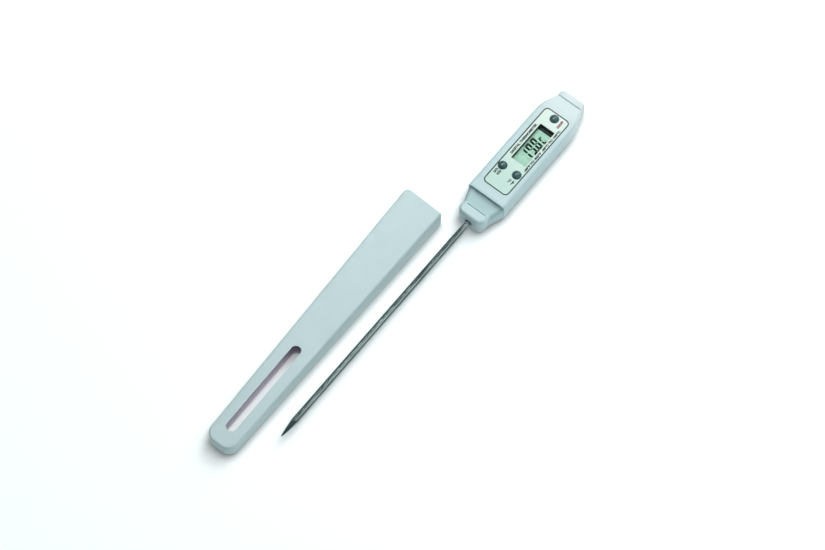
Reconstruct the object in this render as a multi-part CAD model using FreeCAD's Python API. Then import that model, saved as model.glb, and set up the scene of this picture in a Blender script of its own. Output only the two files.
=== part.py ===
# Darkroom probe thermometer with its slotted protective sheath, every piece as a separate solid.
# Row frame, millimetres: +X runs along the printed wording, from the point of the probe to the
# upper end of the handle; +Y is the up direction of the wording (the sheath lies on that side);
# +Z comes out of the display. The flat back of the handle and of the sheath lie on Z = 0.
import FreeCAD, Part
import os
import math

V = FreeCAD.Vector
os.makedirs("parts", exist_ok=True)

# ------------------------------------------------------------------ driving dimensions
# handle
CASE_HALF_W = 9.9          # half of the 19.8 mm wide case
CASE_T = 12.0              # thickness of the case
CASE_EDGE_R = 1.5          # rounding of the long edges
X_SHOULDER = -27.9         # step from the case to the lower neck
X_STEP_LOW = -35.6         # foot of the lower neck, where the end collar rises again
X_COLLAR_END = -40.6       # end face the probe comes out of
X_FLAT_END = 25.8          # end of the flat front, start of the upper neck
X_STEP_UP = 33.1           # foot of the upper neck
X_UPPER_END = 37.0         # upper end of the handle
NECK_DROP = 1.9            # step down from the case's front to the lower neck
NECK_FOOT_DROP = 3.0       # how far the lower neck's foot lies under the case's front
UPPER_FOOT_DROP = 1.8      # the same at the upper neck
NECK_HALF_W0 = 9.7         # half width of the lower neck at the shoulder
NECK_HALF_W1 = 7.0         # half width of the lower neck at its foot
COLLAR_HALF_W = 7.0
COLLAR_Z0, COLLAR_Z1 = 1.0, 10.7
UPPER_HALF_W = 6.75
PART_Z = 5.2               # parting plane of the two shells, and the height of the probe's axis
WALL = 1.2                 # side walls
FLOOR_Z = 1.7              # inside of the back wall
ROOF_Z = 10.6              # inside of the front wall
CAV_X0, CAV_X1 = -26.6, 25.2
CAV_HALF_W = CASE_HALF_W - WALL

# printed front label, window and display
LABEL_X0, LABEL_X1 = -22.9, 24.2
LABEL_Y0, LABEL_Y1 = -7.24, 6.46
LABEL_R = 2.2
LABEL_T = 0.2
WIN_X0, WIN_X1 = -6.0, 15.6
WIN_Y0, WIN_Y1 = -4.7, 3.2
PANE_T = 1.0
LCD_TOP = 9.3
LCD_T = 1.4
PCB_Z0, PCB_Z1 = 5.7, 6.5

# three push buttons: x, y of each
BTN_HOLD = (-11.5, 3.72)
BTN_UNIT = (-11.5, -4.2)
BTN_POWER = (21.2, -0.25)
BTN_HOLE_R = 2.2
BTN_R = 2.13               # 0.07 mm running clearance in the hole
BTN_RIM_Z = 12.15
BTN_DOME_H = 0.8
BTN_FLANGE_R = 2.75
BTN_STEM_R = 1.1

# coin cell and its turning cover in the back
CELL_X = -19.3
CELL_R = 5.8
CELL_Z0, CELL_CAN_Z1, CELL_Z1 = 1.1, 5.55, 6.5
COVER_R = 7.6
COVER_HOLE_R = 7.65
LEDGE_Z = 1.1
LEDGE_R = 6.6
SPIGOT_R = 6.52
LUG_R = 7.1
LUG_HALF_DEG = 13.0
NOTCH_AT_DEG = 50.0

# probe
PROBE_R = 1.65
PROBE_BORE_R = 1.35
PROBE_SEAT_R = 1.6         # the tube is turned down a little where it sits in the handle
PROBE_RELIEF_R = 1.48      # relief groove between the outer part and the seat
PROBE_MOUTH_R = 1.95       # hole in the end of the collar
X_SEAT = -41.2
X_TIP = -169.4
X_TIP_JOINT = -160.0
TIP_END_R = 0.34
TUBE_X1 = -30.5

# sheath, in its own frame: mouth at x = 0, closed end at -SHEATH_L, centre line on y = 0
SHEATH_L = 143.0
SHEATH_HALF_W0 = 10.05
SHEATH_HALF_W1 = 7.1
SHEATH_T0 = 11.7
SHEATH_T1 = 8.6
SHEATH_WALL = 0.85
SHEATH_END_R = 5.2
SLOT_X0, SLOT_X1 = -135.4, -87.3
SLOT_HALF_W = 2.38
SHEATH_POS = (-47.0, 20.25)
SHEATH_TURN_DEG = 0.75


# ------------------------------------------------------------------ small helpers
def box(x0, x1, y0, y1, z0, z1):
    return Part.makeBox(x1 - x0, y1 - y0, z1 - z0, V(x0, y0, z0))


def cyl(r, p, d, length):
    return Part.makeCylinder(r, length, V(*p), V(*d))


def zcyl(x, y, r, z0, z1):
    return Part.makeCylinder(r, z1 - z0, V(x, y, z0), V(0, 0, 1))


def xcyl(r, x0, x1, z=PART_Z):
    return Part.makeCylinder(r, x1 - x0, V(x0, 0, z), V(1, 0, 0))


def rounded_plan(x0, x1, y0, y1, r, z0, z1):
    # upright slab whose four plan corners are arcs of radius r
    k = r * (1 - math.sqrt(0.5))
    e = [
        Part.LineSegment(V(x0 + r, y0, z0), V(x1 - r, y0, z0)).toShape(),
        Part.Arc(V(x1 - r, y0, z0), V(x1 - k, y0 + k, z0), V(x1, y0 + r, z0)).toShape(),
        Part.LineSegment(V(x1, y0 + r, z0), V(x1, y1 - r, z0)).toShape(),
        Part.Arc(V(x1, y1 - r, z0), V(x1 - k, y1 - k, z0), V(x1 - r, y1, z0)).toShape(),
        Part.LineSegment(V(x1 - r, y1, z0), V(x0 + r, y1, z0)).toShape(),
        Part.Arc(V(x0 + r, y1, z0), V(x0 + k, y1 - k, z0), V(x0, y1 - r, z0)).toShape(),
        Part.LineSegment(V(x0, y1 - r, z0), V(x0, y0 + r, z0)).toShape(),
        Part.Arc(V(x0, y0 + r, z0), V(x0 + k, y0 + k, z0), V(x0 + r, y0, z0)).toShape(),
    ]
    return Part.Face(Part.Wire(e)).extrude(V(0, 0, z1 - z0))


def section_yz(x, hw, z0, z1, r):
    # rounded rectangle standing in a plane of constant x
    k = r * (1 - math.sqrt(0.5))
    y0, y1 = -hw, hw
    e = [
        Part.LineSegment(V(x, y0 + r, z0), V(x, y1 - r, z0)).toShape(),
        Part.Arc(V(x, y1 - r, z0), V(x, y1 - k, z0 + k), V(x, y1, z0 + r)).toShape(),
        Part.LineSegment(V(x, y1, z0 + r), V(x, y1, z1 - r)).toShape(),
        Part.Arc(V(x, y1, z1 - r), V(x, y1 - k, z1 - k), V(x, y1 - r, z1)).toShape(),
        Part.LineSegment(V(x, y1 - r, z1), V(x, y0 + r, z1)).toShape(),
        Part.Arc(V(x, y0 + r, z1), V(x, y0 + k, z1 - k), V(x, y0, z1 - r)).toShape(),
        Part.LineSegment(V(x, y0, z1 - r), V(x, y0, z0 + r)).toShape(),
        Part.Arc(V(x, y0, z0 + r), V(x, y0 + k, z0 + k), V(x, y0 + r, z0)).toShape(),
    ]
    return Part.Wire(e)


def poly_xy(pts, z0, z1):
    w = Part.makePolygon([V(x, y, z0) for x, y in pts] + [V(pts[0][0], pts[0][1], z0)])
    return Part.Face(w).extrude(V(0, 0, z1 - z0))


def poly_xz(pts, y0, y1):
    w = Part.makePolygon([V(x, y0, z) for x, z in pts] + [V(pts[0][0], y0, pts[0][1])])
    return Part.Face(w).extrude(V(0, y1 - y0, 0))


def edges_where(shape, test):
    out = []
    for e in shape.Edges:
        if e.Length < 1e-6:
            continue
        p = [e.valueAt(e.FirstParameter + (e.LastParameter - e.FirstParameter) * t) for t in (0.0, 0.5, 1.0)]
        if test(p):
            out.append(e)
    return out


def one_solid(shape):
    s = shape.removeSplitter()
    if len(s.Solids) == 1:
        return s.Solids[0]
    big = sorted(s.Solids, key=lambda q: -q.Volume)
    print('pieces left out:', [round(q.Volume, 4) for q in big[1:]])
    return big[0]


def export(name, shape):
    if not shape.isValid():
        print("INVALID", name)
    if not all(q.isClosed() for q in shape.Shells):
        print("OPEN", name)
    n = len(shape.Solids)
    shape.exportStep("parts/" + name + ".step")
    bb = shape.BoundBox
    print("%-20s solids %d vol %10.3f  x %.2f..%.2f y %.2f..%.2f z %.2f..%.2f" % (
        name, n, shape.Volume, bb.XMin, bb.XMax, bb.YMin, bb.YMax, bb.ZMin, bb.ZMax))


# ------------------------------------------------------------------ outside of the handle
def case_block():
    # plan outline: straight sides, then a smooth run-in to the upper collar
    half = [(20.0, 9.9), (23.0, 9.72), (25.6, 9.25), (28.0, 8.5), (30.6, 7.6), (33.6, 6.8)]
    lo = Part.BSplineCurve()
    lo.interpolate(Points=[V(x, -y, 0) for x, y in half],
                   InitialTangent=V(1, 0, 0), FinalTangent=V(1, 0.3, 0))
    hi = Part.BSplineCurve()
    hi.interpolate(Points=[V(x, y, 0) for x, y in reversed(half)],
                   InitialTangent=V(-1, 0.3, 0), FinalTangent=V(-1, 0, 0))
    xe, ye = half[-1]
    w = Part.Wire([
        Part.LineSegment(V(X_SHOULDER, -CASE_HALF_W, 0), V(20.0, -CASE_HALF_W, 0)).toShape(),
        lo.toShape(),
        Part.LineSegment(V(xe, -ye, 0), V(xe, ye, 0)).toShape(),
        hi.toShape(),
        Part.LineSegment(V(20.0, CASE_HALF_W, 0), V(X_SHOULDER, CASE_HALF_W, 0)).toShape(),
        Part.LineSegment(V(X_SHOULDER, CASE_HALF_W, 0), V(X_SHOULDER, -CASE_HALF_W, 0)).toShape(),
    ])
    plan = Part.Face(w).extrude(V(0, 0, CASE_T))
    # side outline: flat front and back, both falling away along the upper neck
    xs = X_FLAT_END
    d = UPPER_FOOT_DROP * (xe - xs) / (X_STEP_UP - xs)
    side = poly_xz([(X_SHOULDER - 1, 0), (xs, 0), (xe, d), (xe, CASE_T - d), (xs, CASE_T), (X_SHOULDER - 1, CASE_T)],
                   -12, 12)
    # soften the two cross edges where front and back start to fall away
    cross = edges_where(side, lambda p: abs(p[0].x - xs) < 1e-6 and abs(p[2].x - xs) < 1e-6)
    side = side.makeFillet(12.0, cross)
    b = plan.common(side)
    b = one_solid(b)

    def long_edge(p):
        # on the side outline, front or back, never on the two end faces
        for q in p:
            top = abs(q.z - CASE_T) < 2.6 or abs(q.z) < 2.6
            if not top or abs(q.y) < 5.5:
                return False
        return abs(p[0].x - p[2].x) > 0.2
    es = edges_where(b, long_edge)
    return b.makeFillet(CASE_EDGE_R, es)


def lower_neck():
    a = section_yz(X_SHOULDER + 0.4, NECK_HALF_W0 + 0.13, 0.30, CASE_T - NECK_DROP + 0.05, 1.5)
    b = section_yz(X_STEP_LOW - 0.5, NECK_HALF_W1 - 0.17, 1.15, CASE_T - NECK_FOOT_DROP - 0.07, 1.5)
    n = Part.makeLoft([b, a], True, True)
    # narrow groove across the foot, in front of the end collar
    g = box(X_STEP_LOW - 0.6, X_STEP_LOW + 1.0, -5.2, 5.2, CASE_T - NECK_FOOT_DROP - 1.25, CASE_T)
    return n.cut(g)


def collar(x0, x1, hw, z0, z1, corner_r, edge_r, round_low):
    # end collar: the plan corners at its outer end are rounded, and so are its outer edges
    k = corner_r * (1 - math.sqrt(0.5))
    if round_low:
        e = [
            Part.LineSegment(V(x1, -hw, z0), V(x1, hw, z0)).toShape(),
            Part.LineSegment(V(x1, hw, z0), V(x0 + corner_r, hw, z0)).toShape(),
            Part.Arc(V(x0 + corner_r, hw, z0), V(x0 + k, hw - k, z0), V(x0, hw - corner_r, z0)).toShape(),
            Part.LineSegment(V(x0, hw - corner_r, z0), V(x0, -hw + corner_r, z0)).toShape(),
            Part.Arc(V(x0, -hw + corner_r, z0), V(x0 + k, -hw + k, z0), V(x0 + corner_r, -hw, z0)).toShape(),
            Part.LineSegment(V(x0 + corner_r, -hw, z0), V(x1, -hw, z0)).toShape(),
        ]
        xs = x1
    else:
        e = [
            Part.LineSegment(V(x0, -hw, z0), V(x1 - corner_r, -hw, z0)).toShape(),
            Part.Arc(V(x1 - corner_r, -hw, z0), V(x1 - k, -hw + k, z0), V(x1, -hw + corner_r, z0)).toShape(),
            Part.LineSegment(V(x1, -hw + corner_r, z0), V(x1, hw - corner_r, z0)).toShape(),
            Part.Arc(V(x1, hw - corner_r, z0), V(x1 - k, hw - k, z0), V(x1 - corner_r, hw, z0)).toShape(),
            Part.LineSegment(V(x1 - corner_r, hw, z0), V(x0, hw, z0)).toShape(),
            Part.LineSegment(V(x0, hw, z0), V(x0, -hw, z0)).toShape(),
        ]
        xs = x0
    s = Part.Face(Part.Wire(e)).extrude(V(0, 0, z1 - z0))

    def outer(p):
        flat = all(abs(q.z - z0) < 1e-6 for q in p) or all(abs(q.z - z1) < 1e-6 for q in p)
        return flat and not all(abs(q.x - xs) < 1e-6 for q in p)
    return s.makeFillet(edge_r, edges_where(s, outer))


outer_shape = case_block()
outer_shape = outer_shape.fuse(lower_neck())
outer_shape = outer_shape.fuse(collar(X_COLLAR_END, X_STEP_LOW, COLLAR_HALF_W, COLLAR_Z0, COLLAR_Z1, 3.3, 1.5, True))
outer_shape = outer_shape.fuse(collar(X_STEP_UP, X_UPPER_END, UPPER_HALF_W, COLLAR_Z0, COLLAR_Z1, 2.5, 1.7, False))
outer_shape = one_solid(outer_shape)
print("outer valid", outer_shape.isValid(), outer_shape.Volume)


def parting_groove():
    # shallow line all round, where the two shells meet: a flat band outside a core set 0.13 in
    t, z0, h = 0.13, PART_Z - 0.08, 0.16
    half = [(20.0, 9.9), (23.0, 9.72), (25.6, 9.25), (28.0, 8.5), (30.6, 7.6), (33.4, 6.85)]
    side = [(x, y - t) for x, y in half]
    pts = [(X_SHOULDER + t, -side[0][1])] + [(x, -y) for x, y in side] + [(x, y) for x, y in reversed(side)]
    pts.append((X_SHOULDER + t, side[0][1]))
    core = poly_xy(pts, z0, z0 + h)
    core = core.fuse(poly_xy([(X_STEP_LOW - 0.4, -6.75), (X_SHOULDER + 0.6, -9.72), (X_SHOULDER + 0.6, 9.72),
                              (X_STEP_LOW - 0.4, 6.75)], z0, z0 + h))
    core = core.fuse(rounded_plan(X_COLLAR_END + t, X_STEP_LOW + 3.2, -COLLAR_HALF_W + t, COLLAR_HALF_W - t,
                                  3.17, z0, z0 + h))
    core = core.fuse(rounded_plan(X_STEP_UP - 3.0, X_UPPER_END - t, -UPPER_HALF_W + t, UPPER_HALF_W - t,
                                  2.37, z0, z0 + h))
    return box(-45, 42, -12, 12, z0, z0 + h).cut(core.removeSplitter())


seam = parting_groove()
print("seam", len(seam.Solids), seam.isValid(), seam.BoundBox)

# ------------------------------------------------------------------ shared cut-outs
LABEL_PLAN = rounded_plan(LABEL_X0, LABEL_X1, LABEL_Y0, LABEL_Y1, LABEL_R, CASE_T - LABEL_T, CASE_T)
WIN_CX, WIN_CY = (WIN_X0 + WIN_X1) / 2, (WIN_Y0 + WIN_Y1) / 2
SCREWS = [(-31.7, 5.0, 1.65, 2.6), (-31.7, -5.0, 1.65, 2.6), (29.2, 4.5, 1.35, 2.4), (29.2, -4.5, 1.35, 2.4)]
SCREW_TOP = 8.0
SCREW_HEAD_R, SCREW_SHANK_R = 1.5, 0.85

# probe line inside the neck: seal ring, clamped bushing, lead bore
ANCHOR_X0, ANCHOR_X1, ANCHOR_R = -34.2, -31.8, 2.7
SEAL_X0, SEAL_X1, SEAL_R = -38.9, -37.2, 2.35
probe_line = xcyl(PROBE_MOUTH_R, X_COLLAR_END - 1, SEAL_X0 + 0.1)
probe_line = probe_line.fuse(xcyl(SEAL_R, SEAL_X0 - 0.2, SEAL_X1))
probe_line = probe_line.fuse(xcyl(PROBE_SEAT_R, SEAL_X1 - 0.1, TUBE_X1))
probe_line = probe_line.fuse(xcyl(ANCHOR_R, ANCHOR_X0, ANCHOR_X1))
probe_line = probe_line.fuse(xcyl(1.5, TUBE_X1 - 0.1, -29.0))
probe_line = probe_line.fuse(xcyl(2.1, -29.2, CAV_X0 + 0.5, PART_Z + 0.25))

# ------------------------------------------------------------------ front shell
front = outer_shape.common(box(-50, 50, -15, 15, PART_Z, 20))
front = front.cut(rounded_plan(CAV_X0, CAV_X1, -CAV_HALF_W, CAV_HALF_W, 2.0, PART_Z - 1, ROOF_Z))
# lip recess that receives the back shell's tongue
tongue = rounded_plan(CAV_X0 - 0.55, CAV_X1 + 0.3, -CAV_HALF_W - 0.55, CAV_HALF_W + 0.55, 2.4, PART_Z - 0.2, PART_Z + 0.8)
tongue = tongue.cut(rounded_plan(CAV_X0, CAV_X1, -CAV_HALF_W, CAV_HALF_W, 2.0, PART_Z - 1, PART_Z + 2))
tongue = tongue.common(box(-40, 22.4, -15, 15, 0, 12))
tongue = tongue.cut(xcyl(3.0, -32, -20))
front = front.cut(tongue)
front = front.cut(LABEL_PLAN)
front = front.cut(rounded_plan(WIN_X0 - 0.7, WIN_X1 + 0.7, WIN_Y0 - 0.7, WIN_Y1 + 0.7, 0.8, CASE_T - LABEL_T - PANE_T, CASE_T))
front = front.cut(box(WIN_X0 - 0.45, WIN_X1 + 0.45, WIN_Y0 - 0.45, WIN_Y1 + 0.45, ROOF_Z - 1, CASE_T))
for bx, by in (BTN_HOLD, BTN_UNIT, BTN_POWER):
    front = front.cut(zcyl(bx, by, BTN_HOLE_R, ROOF_Z - 1, CASE_T + 1))
# hold-down ribs that press the circuit board on its ledges
ribs = []
for rx in (-12.6, 22.6):
    for sy in (1, -1):
        ya, yb = sorted((sy * 7.3, sy * (CAV_HALF_W + 0.1)))
        ribs.append(box(rx, rx + 1.0, ya, yb, PCB_Z1, ROOF_Z + 0.1))
for r in ribs:
    front = front.fuse(r)
front = front.cut(probe_line)
for sx, sy, sh, st in SCREWS:
    front = front.cut(zcyl(sx, sy, SCREW_SHANK_R, PART_Z - 1, SCREW_TOP + 0.5))
front = one_solid(front.cut(seam))

# ------------------------------------------------------------------ back shell
back = outer_shape.common(box(-50, 50, -15, 15, -1, PART_Z))
back = back.fuse(tongue)
back = back.cut(rounded_plan(-12.3, CAV_X1, -CAV_HALF_W, CAV_HALF_W, 2.0, FLOOR_Z, PART_Z + 3))
back = back.cut(box(-12.4, -9.0, -CAV_HALF_W, CAV_HALF_W, FLOOR_Z, PART_Z + 3))
back = back.cut(zcyl(CELL_X, 0, 5.95, FLOOR_Z, PART_Z + 1))
back = back.cut(zcyl(CELL_X, 0, 7.25, FLOOR_Z, 2.6))
back = back.cut(zcyl(CELL_X, 0, COVER_HOLE_R, -1, LEDGE_Z))
back = back.cut(zcyl(CELL_X, 0, LEDGE_R, -1, FLOOR_Z + 0.1))
back = back.cut(box(-14.1, -12.2, -2.0, 2.0, 2.6, PART_Z + 1))


def sector(cx, r0, r1, deg, half_deg, z0, z1):
    # ring sector about the vertical axis through (cx, 0)
    a0, a1 = math.radians(deg - half_deg), math.radians(deg + half_deg)
    am = math.radians(deg)

    def pt(r, a):
        return V(cx + r * math.cos(a), r * math.sin(a), z0)
    w = Part.Wire([
        Part.LineSegment(pt(r0, a0), pt(r1, a0)).toShape(),
        Part.Arc(pt(r1, a0), pt(r1, am), pt(r1, a1)).toShape(),
        Part.LineSegment(pt(r1, a1), pt(r0, a1)).toShape(),
        Part.Arc(pt(r0, a1), pt(r0, am), pt(r0, a0)).toShape(),
    ])
    return Part.Face(w).extrude(V(0, 0, z1 - z0))


for k in (0, 180):
    back = back.cut(sector(CELL_X, LEDGE_R - 0.3, LUG_R + 0.1, NOTCH_AT_DEG + k, LUG_HALF_DEG + 2.0, LEDGE_Z - 0.1, FLOOR_Z + 0.1))
# board ledges on the side walls
for rx in (-11.0, 4.0, 19.5):
    for sy in (1, -1):
        ya, yb = sorted((sy * 7.5, sy * (CAV_HALF_W + 0.1)))
        back = back.fuse(box(rx, rx + 2.4, ya, yb, FLOOR_Z - 0.1, PCB_Z0))
back = back.cut(probe_line)
for sx, sy, sh, st in SCREWS:
    back = back.cut(zcyl(sx, sy, SCREW_HEAD_R + 0.1, -1, st))
    back = back.cut(zcyl(sx, sy, SCREW_SHANK_R + 0.1, -1, PART_Z + 0.1))
back = one_solid(back.cut(seam))

# ------------------------------------------------------------------ label, pane, display stack
label = LABEL_PLAN
label = label.cut(rounded_plan(WIN_X0, WIN_X1, WIN_Y0, WIN_Y1, 0.35, CASE_T - 1, CASE_T + 1))
for bx, by in (BTN_HOLD, BTN_UNIT, BTN_POWER):
    label = label.cut(zcyl(bx, by, BTN_HOLE_R, CASE_T - 1, CASE_T + 1))

pane = rounded_plan(WIN_X0 - 0.7, WIN_X1 + 0.7, WIN_Y0 - 0.7, WIN_Y1 + 0.7, 0.8, CASE_T - LABEL_T - PANE_T, CASE_T - LABEL_T)

FR_X0, FR_X1, FR_Y0, FR_Y1 = WIN_CX - 12.6, WIN_CX + 12.6, WIN_CY - 6.2, WIN_CY + 6.2
lcd_frame = rounded_plan(FR_X0, FR_X1, FR_Y0, FR_Y1, 0.6, PCB_Z1, ROOF_Z)
lcd_frame = lcd_frame.cut(box(WIN_CX - 11.9, WIN_CX + 11.9, WIN_CY - 5.4, WIN_CY + 5.4, PCB_Z1 - 1, LCD_TOP))
# raised lip that stands in the window opening and carries the pane
lcd_frame = lcd_frame.fuse(box(WIN_X0 - 0.4, WIN_X1 + 0.4, WIN_Y0 - 0.4, WIN_Y1 + 0.4, ROOF_Z - 0.2, CASE_T - LABEL_T - PANE_T - 0.01))
lcd_frame = lcd_frame.cut(box(WIN_X0, WIN_X1, WIN_Y0, WIN_Y1, PCB_Z1, ROOF_Z + 1)).removeSplitter()

# two glass plates; the lower one stands out on one side, where the contacts are
lcd_top = box(WIN_CX - 11.9, WIN_CX + 11.9, WIN_CY - 5.4, WIN_CY + 5.4, LCD_TOP - LCD_T / 2, LCD_TOP)
lcd_low = box(WIN_CX - 11.9, WIN_CX + 11.9, WIN_CY - 5.4, WIN_CY + 5.4, LCD_TOP - LCD_T, LCD_TOP - LCD_T / 2)
strip_a = box(WIN_CX - 11.0, WIN_CX + 11.0, WIN_CY - 5.3, WIN_CY - 4.1, PCB_Z1, LCD_TOP - LCD_T)
strip_b = box(WIN_CX - 11.0, WIN_CX + 11.0, WIN_CY + 4.1, WIN_CY + 5.3, PCB_Z1, LCD_TOP - LCD_T)
reflector = box(WIN_CX - 11.5, WIN_CX + 11.5, WIN_CY - 3.9, WIN_CY + 3.9, LCD_TOP - LCD_T - 0.2, LCD_TOP - LCD_T)

# ------------------------------------------------------------------ circuit board and what is on it
board = rounded_plan(-13.2, 24.9, -8.2, 8.2, 1.0, PCB_Z0, PCB_Z1)
board = board.cut(zcyl(9.5, 7.2, 0.5, 5, 7)).cut(zcyl(9.5, -7.2, 0.5, 5, 7))
blob = Part.makeSphere(6.6, V(4.5, 0.5, PCB_Z0 + 5.4)).common(box(-3, 12, -7, 8, PCB_Z0 - 3, PCB_Z0))
crystal = Part.makeCylinder(1.0, 6.0, V(14.5, -3.0, PCB_Z0 - 1.0), V(0, 1, 0))
crystal = crystal.makeFillet(0.25, [e for e in crystal.Edges if abs(e.BoundBox.YLength) < 1e-6])
chips = [box(x, x + 1.6, y, y + 0.8, PCB_Z0 - 0.7, PCB_Z0) for x, y in ((-6.5, 2.5), (-6.5, -3.0), (18.2, 2.0), (18.2, -3.2), (10.8, 4.6))]
domes = []
DOME_R = 1.4
for bx, by in (BTN_HOLD, BTN_UNIT, BTN_POWER):
    R = (DOME_R ** 2 + 0.4 ** 2) / (2 * 0.4)
    outer_s = Part.makeSphere(R, V(bx, by, PCB_Z1 + 0.4 - R))
    inner_s = Part.makeSphere(R - 0.12, V(bx, by, PCB_Z1 + 0.4 - R))
    domes.append(outer_s.cut(inner_s).common(zcyl(bx, by, DOME_R + 0.05, PCB_Z1, PCB_Z1 + 0.5)))

# ------------------------------------------------------------------ coin cell and contacts
can = zcyl(CELL_X, 0, CELL_R, CELL_Z0, CELL_CAN_Z1)
can = can.makeFillet(0.35, [e for e in can.Edges if e.BoundBox.ZLength < 1e-6])
cap = zcyl(CELL_X, 0, 4.75, CELL_CAN_Z1, CELL_Z1)
cap = cap.makeFillet(0.3, [e for e in cap.Edges if abs(e.BoundBox.ZMax - CELL_Z1) < 1e-6 and e.BoundBox.ZLength < 1e-6])
gasket = zcyl(CELL_X, 0, 5.15, CELL_CAN_Z1, CELL_CAN_Z1 + 0.3).cut(zcyl(CELL_X, 0, 4.75, CELL_CAN_Z1, CELL_CAN_Z1 + 0.3))
contact_neg = box(CELL_X - 1.5, -10.9, -1.2, 1.2, PCB_Z1, PCB_Z1 + 0.2)
contact_neg = contact_neg.fuse(zcyl(CELL_X, 0, 2.0, PCB_Z1, PCB_Z1 + 0.2)).removeSplitter()
contact_pos = box(-13.5, -13.25, -1.6, 1.6, 3.0, PCB_Z0)
contact_pos = contact_pos.fuse(box(-13.5, -10.5, -1.6, 1.6, PCB_Z0 - 0.25, PCB_Z0)).removeSplitter()

# ------------------------------------------------------------------ turning cell cover with its ring
cover = zcyl(CELL_X, 0, COVER_R, 0.10, 1.00)
cover = cover.fuse(zcyl(CELL_X, 0, SPIGOT_R, 0.9, 2.4).cut(zcyl(CELL_X, 0, 5.98, 1.0, 2.6)))
cover = cover.fuse(zcyl(CELL_X, 0, COVER_R, 0.1, 1.0))
for k in (0, 180):
    cover = cover.fuse(sector(CELL_X, SPIGOT_R - 0.2, LUG_R, k, LUG_HALF_DEG, 1.85, 2.4))
cover = cover.cut(zcyl(CELL_X, 0, 7.32, 0.46, 1.2).cut(zcyl(CELL_X, 0, 6.72, 0.46, 1.2)))
# coin slot with rounded ends
slot = box(CELL_X - 4.6, CELL_X + 4.6, -0.85, 0.85, 0.0, 0.62)
slot = slot.fuse(zcyl(CELL_X - 4.6, 0, 0.85, 0.0, 0.62)).fuse(zcyl(CELL_X + 4.6, 0, 0.85, 0.0, 0.62))
cover = one_solid(cover.cut(slot))
oring = Part.makeTorus(7.02, 0.28, V(CELL_X, 0, 0.76), V(0, 0, 1))

# ------------------------------------------------------------------ screws, one group of four
screws = []
for sx, sy, sh, st in SCREWS:
    s = zcyl(sx, sy, SCREW_HEAD_R, sh, st).fuse(zcyl(sx, sy, SCREW_SHANK_R, st - 0.1, SCREW_TOP))
    s = s.removeSplitter()
    s = s.cut(box(sx - 0.95, sx + 0.95, sy - 0.18, sy + 0.18, sh - 0.1, sh + 0.45))
    s = s.cut(box(sx - 0.18, sx + 0.18, sy - 0.95, sy + 0.95, sh - 0.1, sh + 0.45))
    screws.append(one_solid(s))


# ------------------------------------------------------------------ push buttons
def button(bx, by, stem_z0):
    R = (BTN_R ** 2 + BTN_DOME_H ** 2) / (2 * BTN_DOME_H)
    body = zcyl(bx, by, BTN_R, 9.8, BTN_RIM_Z + BTN_DOME_H + 0.1)
    ball = Part.makeSphere(R, V(bx, by, BTN_RIM_Z + BTN_DOME_H - R))
    up = body.common(ball.fuse(zcyl(bx, by, BTN_R + 0.5, 9.0, BTN_RIM_Z)))
    # ring groove in the dome
    rg = 1.62
    zg = BTN_RIM_Z + BTN_DOME_H - R + math.sqrt(R * R - rg * rg)
    up = up.cut(Part.makeTorus(rg, 0.14, V(bx, by, zg + 0.02), V(0, 0, 1)))
    b = up.fuse(zcyl(bx, by, BTN_FLANGE_R, 9.75, 10.55)).fuse(zcyl(bx, by, BTN_STEM_R, stem_z0, 9.9))
    return one_solid(b)


btn_hold = button(BTN_HOLD[0], BTN_HOLD[1], 7.45)
btn_unit = button(BTN_UNIT[0], BTN_UNIT[1], 7.45)
btn_power = button(BTN_POWER[0], BTN_POWER[1], 7.45)

# ------------------------------------------------------------------ probe
tube = xcyl(PROBE_R, X_TIP_JOINT, X_SEAT).fuse(xcyl(PROBE_RELIEF_R, X_SEAT - 0.1, X_SEAT + 1.0))
tube = tube.fuse(xcyl(PROBE_SEAT_R, X_SEAT + 0.9, TUBE_X1))
tube = tube.removeSplitter().cut(xcyl(PROBE_BORE_R, X_TIP_JOINT - 1, TUBE_X1 + 1))


def tip_solid():
    # slightly bellied point, turned about the probe's axis, with a plug that goes into the tube
    r, xj, zc, xt = PROBE_R, X_TIP_JOINT, PART_Z, X_TIP

    def seg(x0, r0, x1, r1):
        return Part.LineSegment(V(x0, 0, zc + r0), V(x1, 0, zc + r1)).toShape()
    w = Part.Wire([
        seg(xj + 3.0, 0, xj + 3.0, PROBE_BORE_R),
        seg(xj + 3.0, PROBE_BORE_R, xj, PROBE_BORE_R),
        seg(xj, PROBE_BORE_R, xj, r - 0.12),
        seg(xj, r - 0.12, xj - 0.15, r),
        seg(xj - 0.15, r, xj - 0.6, r),
        Part.Arc(V(xj - 0.6, 0, zc + r), V(xj - 5.0, 0, zc + r - 0.58), V(xt + 0.28, 0, zc + TIP_END_R)).toShape(),
        seg(xt + 0.28, TIP_END_R, xt, 0.12),
        seg(xt, 0.12, xt, 0),
        seg(xt, 0, xj + 3.0, 0),
    ])
    return Part.Face(w).revolve(V(0, 0, zc), V(1, 0, 0), 360)


tip = tip_solid()
anchor = xcyl(ANCHOR_R, ANCHOR_X0, ANCHOR_X1).cut(xcyl(PROBE_SEAT_R, ANCHOR_X0 - 1, ANCHOR_X1 + 1))
seal = xcyl(SEAL_R, SEAL_X0, SEAL_X1).cut(xcyl(PROBE_SEAT_R, SEAL_X0 - 1, SEAL_X1 + 1))


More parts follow.
